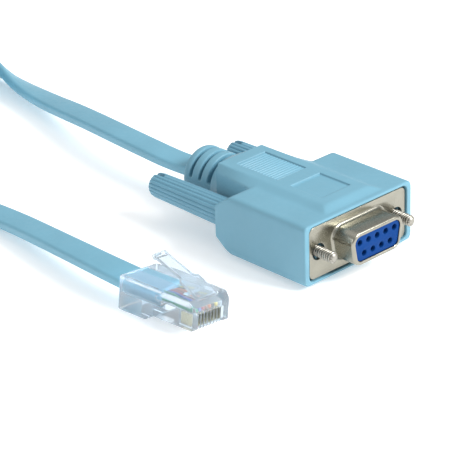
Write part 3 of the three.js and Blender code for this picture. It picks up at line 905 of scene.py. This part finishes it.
def insulator_and_sockets():
    """The moulded block with nine bores, and the turned socket behind each bore."""
    bore_radius, wall = 0.72, 0.97
    places = [((i - 2) * HOLE_PITCH, HOLE_ROW) for i in range(5)]
    places += [((i - 1.5) * HOLE_PITCH, -HOLE_ROW) for i in range(4)]
    outline = [d_outline(wall)] + [circle(bore_radius, y, z, 20) for y, z in places]
    block = plate("insulator_block", outline, -5.5, 5.8, 0.14, insulator_blue)
    put(block, CONNECTOR)
    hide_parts("insulator")
    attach(block, "base")

    mouth, inside, outside, rear = 4.6, 0.52, 0.70, -7.0
    stations = [(0.0, inside), (0.0, 0.66), (-0.06, outside)]
    stations += [(rear, outside), (rear, inside), (-0.1, inside)]
    unit = turned("socket", stations, gold, sides=20, looped=True)
    above = row("sockets_above", unit, 5, (mouth, *places[0]), (0, HOLE_PITCH, 0), gold)
    below = row("sockets_below", unit, 4, (mouth, *places[5]), (0, HOLE_PITCH, 0), gold)
    bpy.data.objects.remove(unit)
    sockets = put(joined("socket_set", [above, below]), CONNECTOR)
    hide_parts(*(f"socket_{i}" for i in range(1, 10)))
    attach(sockets, "base")


def on_screw_axis(side):
    return CONNECTOR @ Matrix.Translation((0, SCREW_Y * (-1 if side == "left" else 1), 0))


def threaded_screw(side, body):
    """Steel screw whose front end carries the thread."""
    core, outside = 1.00, 1.34
    stations = [(-37.3, 0), (-37.3, 1.2), (-37.1, outside), (-7.2, outside), (-6.8, core), (4.55, core)]
    stations += [(4.85, core - 0.22), (4.95, core - 0.5), (4.95, 0)]
    shaft = edged(turned("screw_shaft", stations, screw_steel))
    turns, lead, thread_start = 17.5, 0.64, -6.6
    winding = grown(
        "screw_winding", THREAD,
        Radius=(core + 0.02) * MM, Length=turns * lead * MM, Turns=turns, Ridge=lead / 2 * MM,
        Finish=screw_steel,
    )
    put(winding, Matrix(((0, 0, 1, thread_start), (1, 0, 0, 0), (0, 1, 0, 0), (0, 0, 0, 1))))
    screw = joined(f"thumbscrew_{side}", [shaft, winding])
    put(screw, on_screw_axis(side))
    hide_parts(f"screw_{side}")
    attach(screw, body)


def fluted_grip(side, body):
    """Tapered grip with flutes along it, a round end and a slot across the end."""
    flutes, count, flute_depth = 20, 200, 0.27
    end_radius, spread, taper_start, span, spans = 3.00, 0.4, -51.1, 1.4, 16
    stations = [(-52.70, 1.70), (-52.64, 2.00), (-52.45, 2.35), (-52.10, 2.68), (-51.65, 2.90)]
    stations += [(taper_start + span * i, end_radius + spread * i / spans) for i in range(spans)]
    stations += [(-28.75, 3.40), (-28.42, 3.32), (-28.30, 3.15)]
    rings = []
    for x, wide in stations:
        depth = flute_depth * min(1, max(0, (wide - 1.8) / 1.1))
        ring = []
        for i in range(count):
            angle = 2 * math.pi * i / count
            wave = abs(math.cos(flutes * angle / 2)) ** 0.7
            out = wide - depth * (1 - wave)
            ring.append((x, out * math.cos(angle), out * math.sin(angle)))
        rings.append(ring)
    grip = loft("grip_blank", rings, grip_blue)
    bpy.ops.mesh.primitive_cube_add(size=1)
    cutter = bpy.context.object
    slot_width, slot_middle, slot_length, slot_across = 1.3, -52.3, 6, 20
    size = Matrix.Diagonal((slot_length * MM, slot_width * MM, slot_across * MM, 1))
    cutter.data.transform(Matrix.Translation((slot_middle * MM, 0, 0)) @ size)
    cut = grip.modifiers.new("end_slot", "BOOLEAN")
    cut.operation, cut.object, cut.solver = "DIFFERENCE", cutter, "EXACT"
    grip = edged(plain(grip, f"grip_moulding_{side}"), 38)
    bpy.data.objects.remove(cutter)
    put(grip, on_screw_axis(side))
    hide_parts(f"grip_{side}")
    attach(grip, body)


# Clear plug

def way_y(i, pitch=WAY_PITCH):
    return (i - (WAYS - 1) / 2) * pitch


def plug_moulding():
    """Clear body: stepped underside, throat for the jacket, wire channel, comb of contact slots."""
    step = 0.145
    low, high = (-21.8, -6.2, -0.35), (0.35, 6.2, 8.3)
    x, y, z = grid(low, high, step)
    ay = np.abs(y)
    top, nose_rear, nose_low = 7.86, -13.6, 1.42
    body = both(both(ay - PLUG_HALF_WIDTH, x, 0.3), PLUG_REAR - x, 0.25)
    over = both(z - top, slope(x, z, (0, 6.3), (1.56, 1.1)), 0.3)
    floor = both(-z, slope(x, z, (-13.5, 0), (1.42, -2.34)), 0.2)
    nose = both(nose_low - z, nose_rear - x)
    under = either(floor, nose, 0.2)
    body = both(both(body, over, 0.25), under, 0.25)

    throat_half, channel_half = 3.75, 4.15
    throat = brick(x, y, z, (-22.5, -throat_half, 3.45), (-10.5, throat_half, 6.35), 0.4)
    channel = brick(x, y, z, (-11.8, -channel_half, 4.80), (-0.9, channel_half, 5.9), 0.2)
    body = without(without(body, throat, 0.25), channel, 0.1)

    slot_half, slot_top, slot_rear = 0.26, 4.9, -5.0
    for i in range(WAYS):
        off = np.abs(y - way_y(i)) - slot_half
        body = without(body, both(both(off, z - slot_top), both(slot_rear - x, x - 1.0)), 0.08)

    body = without(body, brick(x, y, z, (-5.2, -3.35, 7.11), (-1.2, 3.35, 9.0), 0.3), 0.15)
    crimp = brick(x, y, z, (-16.4, -3.0, -1.0), (-12.9, 3.0, 4.0), 0.3)
    wedge = both(slope(x, z, (-16.2, 0.4), (-1.0, 1.0)), slope(x, z, (-13.2, 3.4), (0.4, 1.0)), 0.3)
    body = without(body, without(crimp, both(wedge, ay - 2.7)), 0.15)
    made = skinned("plug_moulding", body, low, step, clear)
    put(made, PLUG)
    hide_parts("plug_body")
    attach(made, "base")
    return made


def plug_latch():
    """Springy latch that rises from the nose: wide shoulder, narrow arm with a thumb lip."""
    step = 0.11
    low, high = (-16.5, -3.4, 6.8), (-0.7, 3.4, 13.9)
    x, y, z = grid(low, high, step)
    ay = np.abs(y)
    knots = [(-1.0, 7.70), (-1.9, 7.92), (-3.1, 8.46), (-6.8, 10.06), (-15.9, 13.05), (-17.0, 13.4)]
    xs, zs = [k[0] for k in knots[::-1]], [k[1] for k in knots[::-1]]
    line = np.interp(x, xs, zs).astype(np.float32)
    half_thick, arm_half, tip = 0.40, 1.95, -15.9
    tilt = np.interp(x, [-16, -7.2, -6.4, -2.6], [0.957, 0.957, 0.918, 0.918]).astype(np.float32)
    strip = np.abs(z - line) * tilt - half_thick
    wide = np.interp(x, [tip, -7.3, -7.0, -6.7], [arm_half, arm_half, 2.40, 3.05]).astype(np.float32)
    body = both(both(strip, ay - wide, 0.25), both(tip - x, x + 1.15), 0.25)
    lip = brick(x, y, z, (tip, -1.9, 12.0), (-15.0, 1.9, 13.2), 0.3)
    body = either(body, lip, 0.3)
    made = skinned("plug_latch_moulding", body, low, step, clear)
    put(made, PLUG)
    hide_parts("plug_latch")
    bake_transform(made)
    return made


def blade_set():
    """Gold blades: a plate with a rounded foot and two prongs that pierce the wire."""
    outline = [
        (-4.5, 2.0), (-4.3, 1.82), (-0.9, 1.82), (-0.45, 2.2), (-0.38, 4.3), (-0.7, 4.45), (-1.5, 4.45),
        (-1.75, 5.0), (-2.0, 4.45), (-3.2, 4.45), (-3.45, 5.0), (-3.7, 4.45), (-4.5, 4.45),
    ]
    half_thick = 0.12
    rings = [[(px, off, pz) for px, pz in outline] for off in (-half_thick, half_thick)]
    unit = loft("blade", rings, gold)
    bevel = unit.modifiers.new("stamped_edge", "BEVEL")
    bevel.width, bevel.segments = 0.03 * MM, 1
    unit = plain(unit)
    blades = row("blade_set", unit, WAYS, (0, way_y(0), 0), (0, WAY_PITCH, 0), gold)
    bpy.data.objects.remove(unit)
    put(blades, PLUG)
    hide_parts(*(f"plug_contact_{i}" for i in range(1, WAYS + 1)))
    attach(blades, "base")
    return blades


def core_wires():
    """The coloured cores, bunched where they leave the jacket and one way each at the blades."""
    radius, bunched_pitch, lie = 0.45, 0.78, 5.35
    made = []
    for i, (shade, colour) in enumerate(CORE_COLOURS.items()):
        y, bunched = way_y(i), way_y(i, bunched_pitch)
        line = smooth_line([
            (-10.9, bunched, 5.0), (-10.0, bunched, 5.15), (-8.4, bunched + (y - bunched) * 0.2, lie),
            (-5.4, y, lie), (-3.0, y, lie), (-1.2, y, lie),
        ], 0.35)
        ahead = np.gradient(line, axis=0)
        ahead /= np.linalg.norm(ahead, axis=1)[:, None]
        side = np.cross((0, 0, 1), ahead)
        side /= np.linalg.norm(side, axis=1)[:, None]
        over = np.cross(ahead, side)
        turn = np.linspace(0, 2 * math.pi, 16, endpoint=False)
        rings = line[:, None] + radius * (
            side[:, None] * np.cos(turn)[None, :, None] + over[:, None] * np.sin(turn)[None, :, None]
        )
        finish = moulded(f"{shade}_insulation", colour, 0.35)
        wire = put(loft(f"{shade}_core", rings, finish), PLUG)
        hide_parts(f"wire_{i + 1}")
        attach(wire, "base")
        made.append(wire)
    return made


cable, centres = flat_cable()
strap = strap_loop()
hood()
grip_ribs()
front_shell()
insulator_and_sockets()
for side in ("left", "right"):
    threaded_screw(side, f"thumbscrew_{side}")
    fluted_grip(side, f"thumbscrew_{side}")
on_cable = [plug_moulding(), plug_latch(), blade_set(), *core_wires(), strap]
